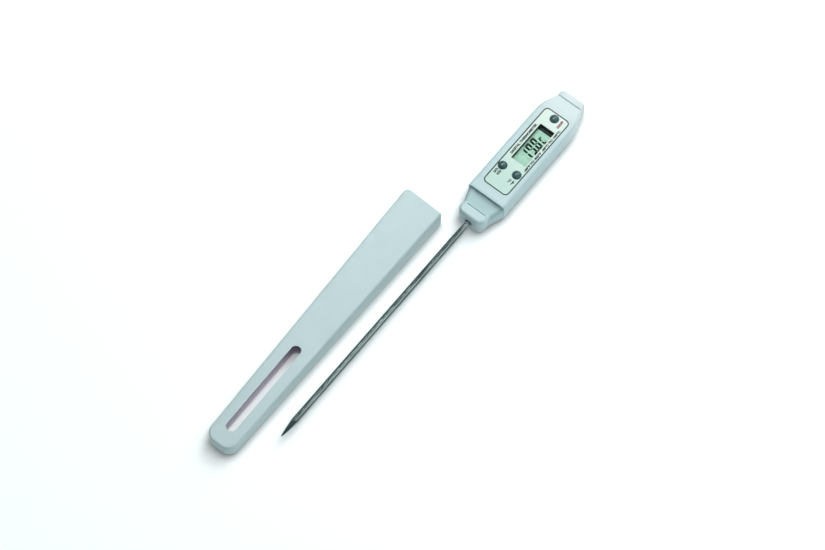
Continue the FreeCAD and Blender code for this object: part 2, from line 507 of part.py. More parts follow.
def arc_path(pts, radii):
    # straight runs joined by tangent arcs, in a plane of constant y
    e = []
    cur = V(*pts[0])
    for i in range(1, len(pts) - 1):
        p, a, b = V(*pts[i]), V(*pts[i - 1]), V(*pts[i + 1])
        u, v = a.sub(p).normalize(), b.sub(p).normalize()
        ang = math.acos(max(-1.0, min(1.0, u.dot(v))))
        t = radii[i - 1] / math.tan(ang / 2)
        t0, t1 = p.add(V(u).multiply(t)), p.add(V(v).multiply(t))
        w = u.add(v).normalize()
        mid = p.add(V(w).multiply(radii[i - 1] / math.sin(ang / 2) - radii[i - 1]))
        e.append(Part.LineSegment(cur, t0).toShape())
        e.append(Part.Arc(t0, mid, t1).toShape())
        cur = t1
    e.append(Part.LineSegment(cur, V(*pts[-1])).toShape())
    return Part.Wire(e)


def lead(y):
    # insulated wire: straight inside the tube, then over the cell and down to the board
    pts = [(-153.5, y, PART_Z), (-29.0, y, PART_Z), (-23.6, y, 8.1), (-10.2, y, 8.1), (-9.3, y, PCB_Z1 + 0.16)]
    path = arc_path(pts, [6.0, 3.0, 0.75])
    prof = Part.Wire([Part.Circle(V(-153.5, y, PART_Z), V(1, 0, 0), 0.27).toShape()])
    w = path.makePipeShell([prof], True, False)
    print("lead volume / section x length", round(w.Volume / (math.pi * 0.27 ** 2 * path.Length), 5))
    return w


leads = [lead(0.5), lead(-0.5)]
bead = Part.makeSphere(0.75, V(-154.0, 0, PART_Z))
bead = bead.fuse(xcyl(0.75, -154.6, -154.0)).fuse(Part.makeSphere(0.75, V(-154.6, 0, PART_Z))).removeSplitter()
leads = [l.cut(bead) for l in leads]
leads = [one_solid(l) for l in leads]
potting = xcyl(PROBE_BORE_R, X_TIP_JOINT + 3.0, -150.5).cut(bead)
for l in leads:
    potting = potting.cut(l)
potting = one_solid(potting)


# ------------------------------------------------------------------ sheath
def tapered(x0, x1, hw0, hw1, za0, za1, zb0, zb1, end_r, edge_r, skew, mouth_r):
    # solid tapered block: x1 > x0 is the mouth side; plan corners of radius end_r at the closed end;
    # the mouth edge stands skew further out at +y, where its corner has radius mouth_r
    plan = poly_xy([(x0, -hw0), (x1, -hw1), (x1 + skew, hw1), (x0, hw0)], -1, 14)
    up = edges_where(plan, lambda p: abs(p[0].x - x0) < 1e-6 and abs(p[2].x - x0) < 1e-6 and abs(p[0].z - p[2].z) > 1)
    plan = plan.makeFillet(end_r, up)
    if mouth_r > 0:
        um = edges_where(plan, lambda p: abs(p[0].x - x1 - skew) < 1e-6 and abs(p[2].x - x1 - skew) < 1e-6 and p[0].y > 0 and abs(p[0].z - p[2].z) > 1)
        plan = plan.makeFillet(mouth_r, um)
        un = edges_where(plan, lambda p: abs(p[0].x - x1) < 1e-6 and abs(p[2].x - x1) < 1e-6 and p[0].y < 0 and abs(p[0].z - p[2].z) > 1)
        plan = plan.makeFillet(0.7, un)
    side = poly_xz([(x0 - 1, za0), (x1 + 1, za1), (x1 + 1, zb1), (x0 - 1, zb0)], -15, 15)
    b = one_solid(plan.common(side))

    def ring(p):
        # around the front and the back, except across the mouth
        def on(q):
            t = (q.x - (x0 - 1)) / (x1 + 1 - (x0 - 1))
            return abs(q.z - (za0 + (za1 - za0) * t)) < 1e-4 or abs(q.z - (zb0 + (zb1 - zb0) * t)) < 1e-4
        if not all(on(q) for q in p):
            return False
        if abs(p[0].z - p[2].z) > 3.5:
            return False
        return not all(q.x > x1 - mouth_r - 0.01 for q in p)
    return b.makeFillet(edge_r, edges_where(b, ring))


sheath = tapered(-SHEATH_L, 0.15, SHEATH_HALF_W1, SHEATH_HALF_W0, 0.0, 0.0, SHEATH_T1, SHEATH_T0,
                 SHEATH_END_R, 0.95, 0.75, 2.3)
inner = tapered(-SHEATH_L + 1.2, 3.0, SHEATH_HALF_W1 - SHEATH_WALL, SHEATH_HALF_W0 - SHEATH_WALL + 0.06,
                SHEATH_WALL, SHEATH_WALL, SHEATH_T1 - SHEATH_WALL, SHEATH_T0 - SHEATH_WALL + 0.06,
                SHEATH_END_R - SHEATH_WALL, 0.7, 0.0, 0.0)
sheath = sheath.cut(inner)
rs = SLOT_HALF_W
cut = box(SLOT_X0 + rs, SLOT_X1 - rs, -rs, rs, -1, 14)
cut = cut.fuse(zcyl(SLOT_X0 + rs, 0, rs, -1, 14)).fuse(zcyl(SLOT_X1 - rs, 0, rs, -1, 14)).removeSplitter()
sheath = sheath.cut(cut)
# the opening in the back wall is a little wider than the one in the front wall
rb = SLOT_HALF_W + 0.6
cut = box(SLOT_X0 + rs, SLOT_X1 - rs, -rb, rb, -1, 3)
cut = cut.fuse(zcyl(SLOT_X0 + rs, 0, rb, -1, 3)).fuse(zcyl(SLOT_X1 - rs, 0, rb, -1, 3)).removeSplitter()
sheath = one_solid(sheath.cut(cut))
sheath.rotate(V(0, 0, 0), V(0, 0, 1), SHEATH_TURN_DEG)
sheath.translate(V(SHEATH_POS[0], SHEATH_POS[1], 0))

# ------------------------------------------------------------------ write every node
export("front_shell", front)
export("back_shell", back)
export("front_label", one_solid(label))
export("window_pane", pane)
export("lcd_frame", one_solid(lcd_frame))
export("lcd_panel", Part.makeCompound([lcd_top, lcd_low]))
export("lcd_reflector", reflector)
export("elastomer_strips", Part.makeCompound([strip_a, strip_b]))
export("circuit_board", one_solid(board))
export("controller_blob", one_solid(blob))
export("timing_crystal", one_solid(crystal))
export("chip_capacitors", Part.makeCompound(chips))
export("contact_domes", Part.makeCompound([one_solid(d) for d in domes]))
export("cell_can", can)
export("cell_cap", cap)
export("cell_gasket", gasket)
export("contact_negative", one_solid(contact_neg))
export("contact_positive", one_solid(contact_pos))
export("case_screws", Part.makeCompound(screws))
export("probe_tube", tube)
export("probe_tip", tip)
export("probe_bushing", anchor)
export("probe_seal", seal)
export("sensor_bead", one_solid(bead))
export("sensor_leads", Part.makeCompound(leads))
export("sensor_potting", potting)
export("button_hold", btn_hold)
export("button_unit", btn_unit)
export("button_power", btn_power)
export("cell_cover", cover)
export("cover_ring", oring)
export("sheath_shell", sheath)
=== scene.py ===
# Looks of the darkroom probe thermometer and its sheath. Metres, in the row frame:
# +X from the probe's point to the upper end of the handle, +Y towards the sheath, +Z out of the display.
import bpy
import bmesh
import math
from mathutils import Matrix, Vector


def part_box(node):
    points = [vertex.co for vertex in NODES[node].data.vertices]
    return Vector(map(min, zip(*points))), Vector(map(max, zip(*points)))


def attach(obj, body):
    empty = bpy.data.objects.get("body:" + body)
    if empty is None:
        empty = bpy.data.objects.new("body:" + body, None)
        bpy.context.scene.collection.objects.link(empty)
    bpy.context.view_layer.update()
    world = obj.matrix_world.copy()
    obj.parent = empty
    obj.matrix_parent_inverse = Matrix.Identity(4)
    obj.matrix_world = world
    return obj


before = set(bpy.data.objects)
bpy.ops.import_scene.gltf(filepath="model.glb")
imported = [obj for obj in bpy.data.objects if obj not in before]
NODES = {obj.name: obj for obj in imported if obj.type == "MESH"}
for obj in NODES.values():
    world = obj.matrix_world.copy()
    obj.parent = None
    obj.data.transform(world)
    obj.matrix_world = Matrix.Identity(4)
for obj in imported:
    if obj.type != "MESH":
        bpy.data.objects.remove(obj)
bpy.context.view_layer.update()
MM = 0.001

bpy.context.scene.view_settings.view_transform = "Standard"
bpy.context.scene.view_settings.look = "None"


# ------------------------------------------------------------------ material tools
def srgb(r, g, b):
    out = []
    for c in (r, g, b):
        c = c / 255.0
        out.append(c / 12.92 if c <= 0.04045 else ((c + 0.055) / 1.055) ** 2.4)
    return (out[0], out[1], out[2], 1.0)


def new_material(name):
    m = bpy.data.materials.new(name)
    m.use_nodes = True
    nt = m.node_tree
    nt.nodes.clear()
    out = nt.nodes.new("ShaderNodeOutputMaterial")
    bsdf = nt.nodes.new("ShaderNodeBsdfPrincipled")
    nt.links.new(bsdf.outputs["BSDF"], out.inputs["Surface"])
    return m, nt, bsdf, out


def coords(nt, stretch=(1, 1, 1), turn=(0, 0, 0)):
    tc = nt.nodes.new("ShaderNodeTexCoord")
    mp = nt.nodes.new("ShaderNodeMapping")
    mp.inputs["Scale"].default_value = stretch
    mp.inputs["Rotation"].default_value = turn
    nt.links.new(tc.outputs["Object"], mp.inputs["Vector"])
    return mp.outputs["Vector"]


def noise(nt, vec, scale, detail=3.0, rough=0.55):
    n = nt.nodes.new("ShaderNodeTexNoise")
    n.inputs["Scale"].default_value = scale
    n.inputs["Detail"].default_value = detail
    n.inputs["Roughness"].default_value = rough
    nt.links.new(vec, n.inputs["Vector"])
    return n.outputs["Fac"]


def ramp(nt, fac, stops):
    r = nt.nodes.new("ShaderNodeValToRGB")
    r.color_ramp.elements[0].position = stops[0][0]
    r.color_ramp.elements[0].color = stops[0][1]
    r.color_ramp.elements[1].position = stops[-1][0]
    r.color_ramp.elements[1].color = stops[-1][1]
    for p, c in stops[1:-1]:
        e = r.color_ramp.elements.new(p)
        e.color = c
    nt.links.new(fac, r.inputs["Fac"])
    return r.outputs["Color"]


def remap(nt, fac, a0, a1, b0, b1):
    r = nt.nodes.new("ShaderNodeMapRange")
    r.inputs["From Min"].default_value = a0
    r.inputs["From Max"].default_value = a1
    r.inputs["To Min"].default_value = b0
    r.inputs["To Max"].default_value = b1
    nt.links.new(fac, r.inputs["Value"])
    return r.outputs["Result"]


def math_node(nt, op, a, b=None):
    n = nt.nodes.new("ShaderNodeMath")
    n.operation = op
    for i, v in enumerate((a, b)):
        if v is None:
            continue
        if isinstance(v, (int, float)):
            n.inputs[i].default_value = v
        else:
            nt.links.new(v, n.inputs[i])
    return n.outputs[0]


def mix_colour(nt, fac, a, b, mode="MIX"):
    n = nt.nodes.new("ShaderNodeMix")
    n.data_type = "RGBA"
    n.blend_type = mode
    for key, v in ((0, fac), (6, a), (7, b)):
        if isinstance(v, (int, float)):
            n.inputs[key].default_value = v
        elif isinstance(v, tuple):
            n.inputs[key].default_value = v
        else:
            nt.links.new(v, n.inputs[key])
    return n.outputs[2]


def bump(nt, bsdf, height, strength, distance, before=None):
    b = nt.nodes.new("ShaderNodeBump")
    b.inputs["Strength"].default_value = strength
    b.inputs["Distance"].default_value = distance
    nt.links.new(height, b.inputs["Height"])
    if before is not None:
        nt.links.new(before, b.inputs["Normal"])
    nt.links.new(b.outputs["Normal"], bsdf.inputs["Normal"])
    return b.outputs["Normal"]


def shade(c, k):
    return (c[0] * k, c[1] * k, c[2] * k, 1.0)


def moulded(name, colour, spread=0.05, rough=0.42, rough_spread=0.08, grain=5200.0, grain_height=0.000012,
            grain_strength=0.35, coat=0.0, ior=1.5, stretch=(1, 1, 1), blotch=55.0, spec=0.5):
    """Moulded plastic or rubber: slow colour drift, flow marks, fine eroded grain, uneven gloss."""
    m, nt, bsdf, out = new_material(name)
    v = coords(nt, stretch)
    slow = noise(nt, v, blotch, 2.0)
    fine = noise(nt, v, grain, 2.5, 0.6)
    mid = noise(nt, v, blotch * 14, 3.0)
    col = ramp(nt, slow, [(0.3, shade(colour, 1 - spread)), (0.5, colour), (0.72, shade(colour, 1 + spread))])
    col = mix_colour(nt, remap(nt, fine, 0.3, 0.75, 0.0, 0.10), col, shade(colour, 0.82))
    nt.links.new(col, bsdf.inputs["Base Color"])
    r = math_node(nt, "ADD", remap(nt, mid, 0.3, 0.7, rough - rough_spread, rough + rough_spread),
                  remap(nt, fine, 0.3, 0.7, -0.02, 0.03))
    nt.links.new(r, bsdf.inputs["Roughness"])
    bump(nt, bsdf, fine, grain_strength, grain_height)
    bsdf.inputs["IOR"].default_value = ior
    bsdf.inputs["Specular IOR Level"].default_value = spec
    bsdf.inputs["Coat Weight"].default_value = coat
    bsdf.inputs["Coat Roughness"].default_value = 0.12
    return m


def metal(name, colour, rough=0.28, rough_spread=0.08, lines=(60, 9000, 9000), line_height=0.000004,
          line_strength=0.35, tarnish=None, anisotropic=0.0):
    """Drawn, turned or stamped metal: fine working lines, small stains, uneven polish."""
    m, nt, bsdf, out = new_material(name)
    v = coords(nt)
    vl = coords(nt, lines)
    slow = noise(nt, v, 90.0, 3.0)
    line = noise(nt, vl, 1.0, 3.0, 0.6)
    dark = tarnish or shade(colour, 0.72)
    col = ramp(nt, slow, [(0.32, dark), (0.55, colour), (0.8, shade(colour, 1.08))])
    col = mix_colour(nt, remap(nt, line, 0.35, 0.7, 0.0, 0.35), col, shade(colour, 0.6))
    nt.links.new(col, bsdf.inputs["Base Color"])
    r = math_node(nt, "ADD", remap(nt, slow, 0.3, 0.7, rough - rough_spread, rough + rough_spread),
                  remap(nt, line, 0.3, 0.7, -0.05, 0.06))
    nt.links.new(r, bsdf.inputs["Roughness"])
    bsdf.inputs["Metallic"].default_value = 1.0
    bsdf.inputs["Anisotropic"].default_value = anisotropic
    bump(nt, bsdf, line, line_strength, line_height)
    return m


def wear(colour, name, spread=0.04, rough=0.5):
    return moulded(name, colour, spread=spread, rough=rough)


# ------------------------------------------------------------------ the materials
CASE = (0.494, 0.668, 0.692, 1.0)
SHEATH = (0.482, 0.642, 0.660, 1.0)

M_CASE = moulded("case_plastic", CASE, spread=0.025, rough=0.40, grain=3800.0, grain_height=0.00001)
M_SHEATH = moulded("sheath_plastic", SHEATH, spread=0.03, rough=0.42, grain=3300.0, grain_height=0.00001)


def painted_light_inside(m):
    """Painted light: the inner walls of the sheath are painted paler and a little violet, standing for the tone of
    the shade inside it; below 2.2 mm they are painted a little darker.
    """
    nt = m.node_tree
    bsdf = nt.nodes["Principled BSDF"]
    old = bsdf.inputs["Base Color"].links[0].from_socket
    tc = nt.nodes.new("ShaderNodeTexCoord")
    sep = nt.nodes.new("ShaderNodeSeparateXYZ")
    nt.links.new(tc.outputs["Object"], sep.inputs[0])
    x, y, z = sep.outputs["X"], sep.outputs["Y"], sep.outputs["Z"]
    # centre line, half width and height of the tapered body along its length
    mid = math_node(nt, "ADD", math_node(nt, "MULTIPLY", x, 0.0131), 0.02087)
    off = math_node(nt, "ABSOLUTE", math_node(nt, "SUBTRACT", y, mid))
    half = remap(nt, x, -0.190, -0.047, 0.0071 - 0.0005, 0.01005 - 0.0005)
    high = remap(nt, x, -0.190, -0.047, 0.0086 - 0.0005, 0.0117 - 0.0005)
    a = math_node(nt, "LESS_THAN", off, half)
    b = math_node(nt, "LESS_THAN", z, high)
    c = math_node(nt, "GREATER_THAN", z, 0.0005)
    d = math_node(nt, "GREATER_THAN", x, -0.1825)
    inside = math_node(nt, "MULTIPLY", math_node(nt, "MULTIPLY", a, b), math_node(nt, "MULTIPLY", c, d))
    low = math_node(nt, "LESS_THAN", z, 0.0022)
    # painted light and shade inside the sheath: paler violet above, a little darker below 2.2 mm
    inner = mix_colour(nt, low, (0.73, 0.665, 0.80, 1.0), (0.66, 0.61, 0.70, 1.0))
    nt.links.new(mix_colour(nt, inside, old, inner), bsdf.inputs["Base Color"])


# painted light on the inner walls of the sheath
painted_light_inside(M_SHEATH)


def painted_light_along(m, x0, x1, colour, amount):
    """Painted light: the plastic is painted paler towards the upper end of the handle, standing for the brighter
    light and sheen there.
    """
    nt = m.node_tree
    bsdf = nt.nodes["Principled BSDF"]
    old = bsdf.inputs["Base Color"].links[0].from_socket
    tc = nt.nodes.new("ShaderNodeTexCoord")
    sep = nt.nodes.new("ShaderNodeSeparateXYZ")
    nt.links.new(tc.outputs["Object"], sep.inputs[0])
    # painted light: paler colour rising along X
    along = remap(nt, sep.outputs["X"], x0, x1, 0.0, amount)
    nt.links.new(mix_colour(nt, along, old, colour), bsdf.inputs["Base Color"])


def painted_shade_neck(m):
    """Painted shade: the neck below the case is painted darker than the faces on either side of it, standing for
    the lower light on its sloping face.
    """
    nt = m.node_tree
    bsdf = nt.nodes["Principled BSDF"]
    old = bsdf.inputs["Base Color"].links[0].from_socket
    tc = nt.nodes.new("ShaderNodeTexCoord")
    sep = nt.nodes.new("ShaderNodeSeparateXYZ")
    nt.links.new(tc.outputs["Object"], sep.inputs[0])
    a = remap(nt, sep.outputs["X"], -0.0346, -0.0340, 0.0, 1.0)
    b = remap(nt, sep.outputs["X"], -0.0285, -0.0265, 1.0, 0.0)
    c = remap(nt, sep.outputs["Z"], 0.0060, 0.0072, 0.0, 1.0)
    here = math_node(nt, "MULTIPLY", math_node(nt, "MULTIPLY", a, b), math_node(nt, "MULTIPLY", c, 0.9))
    # painted shade: darker colour on the neck's front
    nt.links.new(mix_colour(nt, here, old, (0.365, 0.555, 0.575, 1.0)), bsdf.inputs["Base Color"])


# painted shade on the neck
painted_shade_neck(M_CASE)
# painted light and sheen on the upper end of the case
painted_light_along(M_CASE, 0.010, 0.046, (0.80, 0.84, 0.86, 1.0), 0.70)
M_LABEL = moulded("label_film", (0.548, 0.775, 0.705, 1.0), spread=0.02, rough=0.42, grain=7000.0,
                  grain_height=0.000004, grain_strength=0.2, coat=0.0, spec=0.22)
# painted light and sheen on the right part of the label
painted_light_along(M_LABEL, -0.020, 0.032, (0.88, 0.96, 0.91, 1.0), 0.70)
M_BUTTON = moulded("button_plastic", (0.030, 0.100, 0.108, 1.0), spread=0.06, rough=0.26, rough_spread=0.05,
                   grain=6500.0, grain_height=0.000005, grain_strength=0.25, coat=0.35)
M_BLACK = moulded("black_plastic", (0.003, 0.004, 0.004, 1.0), spread=0.1, rough=0.50, grain=4200.0, spec=0.2)
M_RUBBER = moulded("conductive_rubber", (0.018, 0.018, 0.019, 1.0), spread=0.1, rough=0.62, grain=5200.0)
M_SEAL = moulded("seal_rubber", (0.028, 0.030, 0.031, 1.0), spread=0.1, rough=0.55, grain=5200.0)
M_GASKET = moulded("cell_gasket_nylon", (0.10, 0.11, 0.12, 1.0), spread=0.06, rough=0.4)
M_EPOXY = moulded("epoxy_black", (0.012, 0.012, 0.013, 1.0), spread=0.12, rough=0.22, rough_spread=0.06,
                  grain=900.0, grain_height=0.00004)
M_POTTING = moulded("epoxy_grey", (0.14, 0.15, 0.15, 1.0), spread=0.08, rough=0.35, grain=1500.0)
M_CHIP = moulded("component_ceramic", (0.30, 0.20, 0.11, 1.0), spread=0.08, rough=0.38, grain=9000.0)
M_LEAD = moulded("lead_insulation", (0.42, 0.03, 0.03, 1.0), spread=0.06, rough=0.35, grain=5000.0)
M_GLASSBEAD = moulded("sensor_glass", (0.05, 0.03, 0.025, 1.0), spread=0.1, rough=0.12, rough_spread=0.03,
                      grain=1200.0, coat=0.5)
M_STEEL = metal("stainless_steel", (0.345, 0.43, 0.425, 1.0), rough=0.15, rough_spread=0.03,
                lines=(120, 5200, 5200), line_height=0.000003, line_strength=0.30, tarnish=(0.26, 0.325, 0.32, 1.0))
M_CELL = metal("cell_steel", (0.62, 0.62, 0.60, 1.0), rough=0.24, lines=(3000, 3000, 400))
M_NICKEL = metal("nickel_strip", (0.60, 0.57, 0.50, 1.0), rough=0.30, lines=(200, 6000, 6000))
M_BRASS = metal("bushing_brass", (0.60, 0.42, 0.17, 1.0), rough=0.30, lines=(9000, 300, 300))
M_SCREW = metal("screw_steel", (0.36, 0.36, 0.37, 1.0), rough=0.34, lines=(5000, 5000, 500))
M_CRYSTAL = metal("component_metal", (0.66, 0.66, 0.64, 1.0), rough=0.22, lines=(6000, 300, 6000))


def board_material():
    """Green laminate with copper tracks under solder mask, and the weave showing faintly."""
    m, nt, bsdf, out = new_material("board_laminate")
    v = coords(nt)
    br = nt.nodes.new("ShaderNodeTexBrick")
    br.inputs["Scale"].default_value = 330.0
    br.inputs["Mortar Size"].default_value = 0.10
    br.offset = 0.37
    br.inputs["Color1"].default_value = (0.010, 0.085, 0.035, 1.0)
    br.inputs["Color2"].default_value = (0.012, 0.105, 0.045, 1.0)
    br.inputs["Mortar"].default_value = (0.020, 0.17, 0.07, 1.0)
    nt.links.new(v, br.inputs["Vector"])
    weave = noise(nt, v, 2600.0, 2.0)
    col = mix_colour(nt, remap(nt, weave, 0.35, 0.7, 0.0, 0.25), br.outputs["Color"], (0.02, 0.13, 0.06, 1.0))
    nt.links.new(col, bsdf.inputs["Base Color"])
    nt.links.new(remap(nt, weave, 0.3, 0.7, 0.28, 0.42), bsdf.inputs["Roughness"])
    bump(nt, bsdf, br.outputs["Fac"], 0.4, 0.00002)
    return m


def display_material():
    """Reflective liquid crystal display: grey green, brushed reflector under the glass."""
    m, nt, bsdf, out = new_material("display_glass")
    v = coords(nt)
    vl = coords(nt, (240, 7000, 3000))
    slow = noise(nt, v, 70.0, 2.0)
    line = noise(nt, vl, 1.0, 2.0)
    sep = nt.nodes.new("ShaderNodeSeparateXYZ")
    nt.links.new(v, sep.inputs[0])
    along = remap(nt, sep.outputs["X"], -0.006, 0.0, 0.0, 1.0)
    col = mix_colour(nt, along, (0.43, 0.70, 0.57, 1.0), (0.50, 0.82, 0.67, 1.0))
    col = mix_colour(nt, remap(nt, slow, 0.3, 0.7, 0.0, 0.18), col, (0.54, 0.84, 0.70, 1.0))
    col = mix_colour(nt, remap(nt, line, 0.35, 0.7, 0.0, 0.16), col, (0.39, 0.67, 0.54, 1.0))
    nt.links.new(col, bsdf.inputs["Base Color"])
    nt.links.new(remap(nt, slow, 0.3, 0.7, 0.34, 0.42), bsdf.inputs["Roughness"])
    bsdf.inputs["Specular IOR Level"].default_value = 0.12
    bump(nt, bsdf, line, 0.12, 0.000004)
    return m


def reflector_material():
    m, nt, bsdf, out = new_material("reflector_film")
    v = coords(nt, (300, 6000, 3000))
    line = noise(nt, v, 1.0, 2.0)
    col = ramp(nt, line, [(0.3, (0.50, 0.55, 0.50, 1)), (0.75, (0.68, 0.72, 0.66, 1))])
    nt.links.new(col, bsdf.inputs["Base Color"])
    bsdf.inputs["Metallic"].default_value = 0.8
    nt.links.new(remap(nt, line, 0.3, 0.7, 0.35, 0.5), bsdf.inputs["Roughness"])
    return m


def pane_material():
    """Clear acrylic window that lets the lamps through to the display."""
    m, nt, bsdf, out = new_material("clear_pane")
    v = coords(nt)
    n1 = noise(nt, v, 260.0, 2.0)
    scratch = noise(nt, coords(nt, (500, 9000, 500), (0, 0, 0.5)), 1.0, 2.0)
    bsdf.inputs["Base Color"].default_value = (0.97, 0.99, 0.98, 1.0)
    bsdf.inputs["Transmission Weight"].default_value = 1.0
    bsdf.inputs["IOR"].default_value = 1.49
    nt.links.new(remap(nt, n1, 0.3, 0.7, 0.0, 0.015), bsdf.inputs["Roughness"])
    bump(nt, bsdf, scratch, 0.02, 0.0000005)
    lp = nt.nodes.new("ShaderNodeLightPath")
    clear = nt.nodes.new("ShaderNodeBsdfTransparent")
    clear.inputs["Color"].default_value = (0.95, 0.98, 0.96, 1.0)
    mx = nt.nodes.new("ShaderNodeMixShader")
    nt.links.new(lp.outputs["Is Shadow Ray"], mx.inputs[0])
    nt.links.new(bsdf.outputs["BSDF"], mx.inputs[1])
    nt.links.new(clear.outputs["BSDF"], mx.inputs[2])
    nt.links.new(mx.outputs["Shader"], out.inputs["Surface"])
    return m


def ink(name, colour, rough=0.5):
    """Screen-printed ink: slightly uneven density and a matt tooth."""
    return moulded(name, colour, spread=0.12, rough=rough, rough_spread=0.06, grain=9000.0,
                   grain_height=0.000003, blotch=900.0, spec=0.25)


M_BOARD = board_material()
M_DISPLAY = display_material()
M_REFLECT = reflector_material()
M_PANE = pane_material()
M_INK = ink("ink_dark", (0.004, 0.018, 0.018, 1.0))
M_INK_TEXT = ink("ink_text", (0.022, 0.020, 0.030, 1.0))
M_INK_RED = ink("ink_red", (0.27, 0.020, 0.090, 1.0))
M_SEGMENT = moulded("display_segment", (0.001, 0.0015, 0.0015, 1.0), spread=0.1, rough=0.5, grain=9000.0,
                    grain_height=0.000002, spec=0.1)
M_GHOST = moulded("display_ghost", (0.42, 0.70, 0.57, 1.0), spread=0.05, rough=0.3, grain=9000.0,
                  grain_height=0.000002)
M_MASK = moulded("display_mask", (0.020, 0.058, 0.052, 1.0), spread=0.15, rough=0.45, grain=7000.0,
                 grain_height=0.000003, spec=0.2)

CAD_LOOK = {
    "front_shell": M_CASE, "back_shell": M_CASE, "front_label": M_LABEL, "window_pane": M_PANE,
    "lcd_frame": M_BLACK, "lcd_panel": M_DISPLAY, "lcd_reflector": M_REFLECT, "elastomer_strips": M_RUBBER,
    "circuit_board": M_BOARD, "controller_blob": M_EPOXY, "timing_crystal": M_CRYSTAL,
    "chip_capacitors": M_CHIP, "contact_domes": M_NICKEL, "cell_can": M_CELL, "cell_cap": M_CELL,
    "cell_gasket": M_GASKET, "contact_negative": M_NICKEL, "contact_positive": M_NICKEL,
    "case_screws": M_SCREW, "probe_tube": M_STEEL, "probe_tip": M_STEEL, "probe_bushing": M_BRASS,
    "probe_seal": M_SEAL, "sensor_bead": M_GLASSBEAD, "sensor_leads": M_LEAD, "sensor_potting": M_POTTING,
    "button_hold": M_BUTTON, "button_unit": M_BUTTON, "button_power": M_BUTTON,
    "cell_cover": M_CASE, "cover_ring": M_SEAL, "sheath_shell": M_SHEATH,
}
for n, o in NODES.items():
    look = CAD_LOOK[n]
    if not o.material_slots:
        o.data.materials.append(look)
    for s in o.material_slots:
        s.material = look


# ------------------------------------------------------------------ mesh tools
def mesh_piece(name, bm, material, body):
    bmesh.ops.recalc_face_normals(bm, faces=bm.faces[:])
    me = bpy.data.meshes.new(name)
    bm.to_mesh(me)
    bm.free()
    o = bpy.data.objects.new(name, me)
    bpy.context.scene.collection.objects.link(o)
    me.materials.append(material)
    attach(o, body)
    return o


def prism(bm, pts, z0, z1):
    """Closed prism over an outline in millimetres."""
    lo = [bm.verts.new((x * MM, y * MM, z0 * MM)) for x, y in pts]
    hi = [bm.verts.new((x * MM, y * MM, z1 * MM)) for x, y in pts]
    n = len(pts)
    bm.faces.new(lo[::-1])
    bm.faces.new(hi)
    for i in range(n):
        bm.faces.new((lo[i], lo[(i + 1) % n], hi[(i + 1) % n], hi[i]))


def ring_prism(bm, outer, inner, z0, z1):
    """Closed band between two outlines with the same number of points."""
    n = len(outer)
    ol = [bm.verts.new((x * MM, y * MM, z0 * MM)) for x, y in outer]
    oh = [bm.verts.new((x * MM, y * MM, z1 * MM)) for x, y in outer]
    il = [bm.verts.new((x * MM, y * MM, z0 * MM)) for x, y in inner]
    ih = [bm.verts.new((x * MM, y * MM, z1 * MM)) for x, y in inner]
    for i in range(n):
        j = (i + 1) % n
        bm.faces.new((oh[i], oh[j], ih[j], ih[i]))
        bm.faces.new((ol[j], ol[i], il[i], il[j]))
        bm.faces.new((ol[i], ol[j], oh[j], oh[i]))
        bm.faces.new((il[j], il[i], ih[i], ih[j]))


def rounded(x0, x1, y0, y1, r, steps=10):
    pts = []
    for cx, cy, a0 in ((x1 - r, y1 - r, 0), (x0 + r, y1 - r, 90), (x0 + r, y0 + r, 180), (x1 - r, y0 + r, 270)):
        for k in range(steps + 1):
            a = math.radians(a0 + 90.0 * k / steps)
            pts.append((cx + r * math.cos(a), cy + r * math.sin(a)))
    return pts


def text_piece(name, words, x0, x1, y0, y1, z, material, body, thick=0.012, flip=False, bold=0.06):
    """Printed wording as thin raised ink, fitted into the box x0..x1, y0..y1 (millimetres)."""
    cu = bpy.data.curves.new(name + "_curve", "FONT")
    cu.body = words
    cu.size = 1.0
    cu.extrude = 0.5
    cu.offset = bold
    cu.resolution_u = 4
    cu.align_x = "LEFT"
    tmp = bpy.data.objects.new(name + "_tmp", cu)
    bpy.context.scene.collection.objects.link(tmp)
    bpy.context.view_layer.update()
    dg = bpy.context.evaluated_depsgraph_get()
    me = bpy.data.meshes.new_from_object(tmp.evaluated_get(dg))
    bpy.data.objects.remove(tmp)
    bpy.data.curves.remove(cu)
    bm = bmesh.new()
    bm.from_mesh(me)
    bpy.data.meshes.remove(me)
    bmesh.ops.remove_doubles(bm, verts=bm.verts[:], dist=1e-5)
    xs = [v.co.x for v in bm.verts]
    ys = [v.co.y for v in bm.verts]
    ax, bx, ay, by = min(xs), max(xs), min(ys), max(ys)
    for v in bm.verts:
        fx = (v.co.x - ax) / (bx - ax)
        fy = (v.co.y - ay) / (by - ay)
        if flip:
            fx = 1 - fx
        v.co = Vector(((x0 + fx * (x1 - x0)) * MM, (y0 + fy * (y1 - y0)) * MM,
                       (z + (thick if v.co.z > 0 else 0.0)) * MM))
    return mesh_piece(name, bm, material, body)


# ------------------------------------------------------------------ print on the label
lab_lo, lab_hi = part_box("front_label")
LX0, LX1, LY0, LY1, LZ = lab_lo.x / MM, lab_hi.x / MM, lab_lo.y / MM, lab_hi.y / MM, lab_hi.z / MM
bm = bmesh.new()
ring_prism(bm, rounded(LX0 + 0.02, LX1 - 0.02, LY0 + 0.02, LY1 - 0.02, 2.18),
           rounded(LX0 + 0.56, LX1 - 0.56, LY0 + 0.56, LY1 - 0.56, 1.64), LZ, LZ + 0.012)
mesh_piece("label_outline", bm, M_INK, "handle")

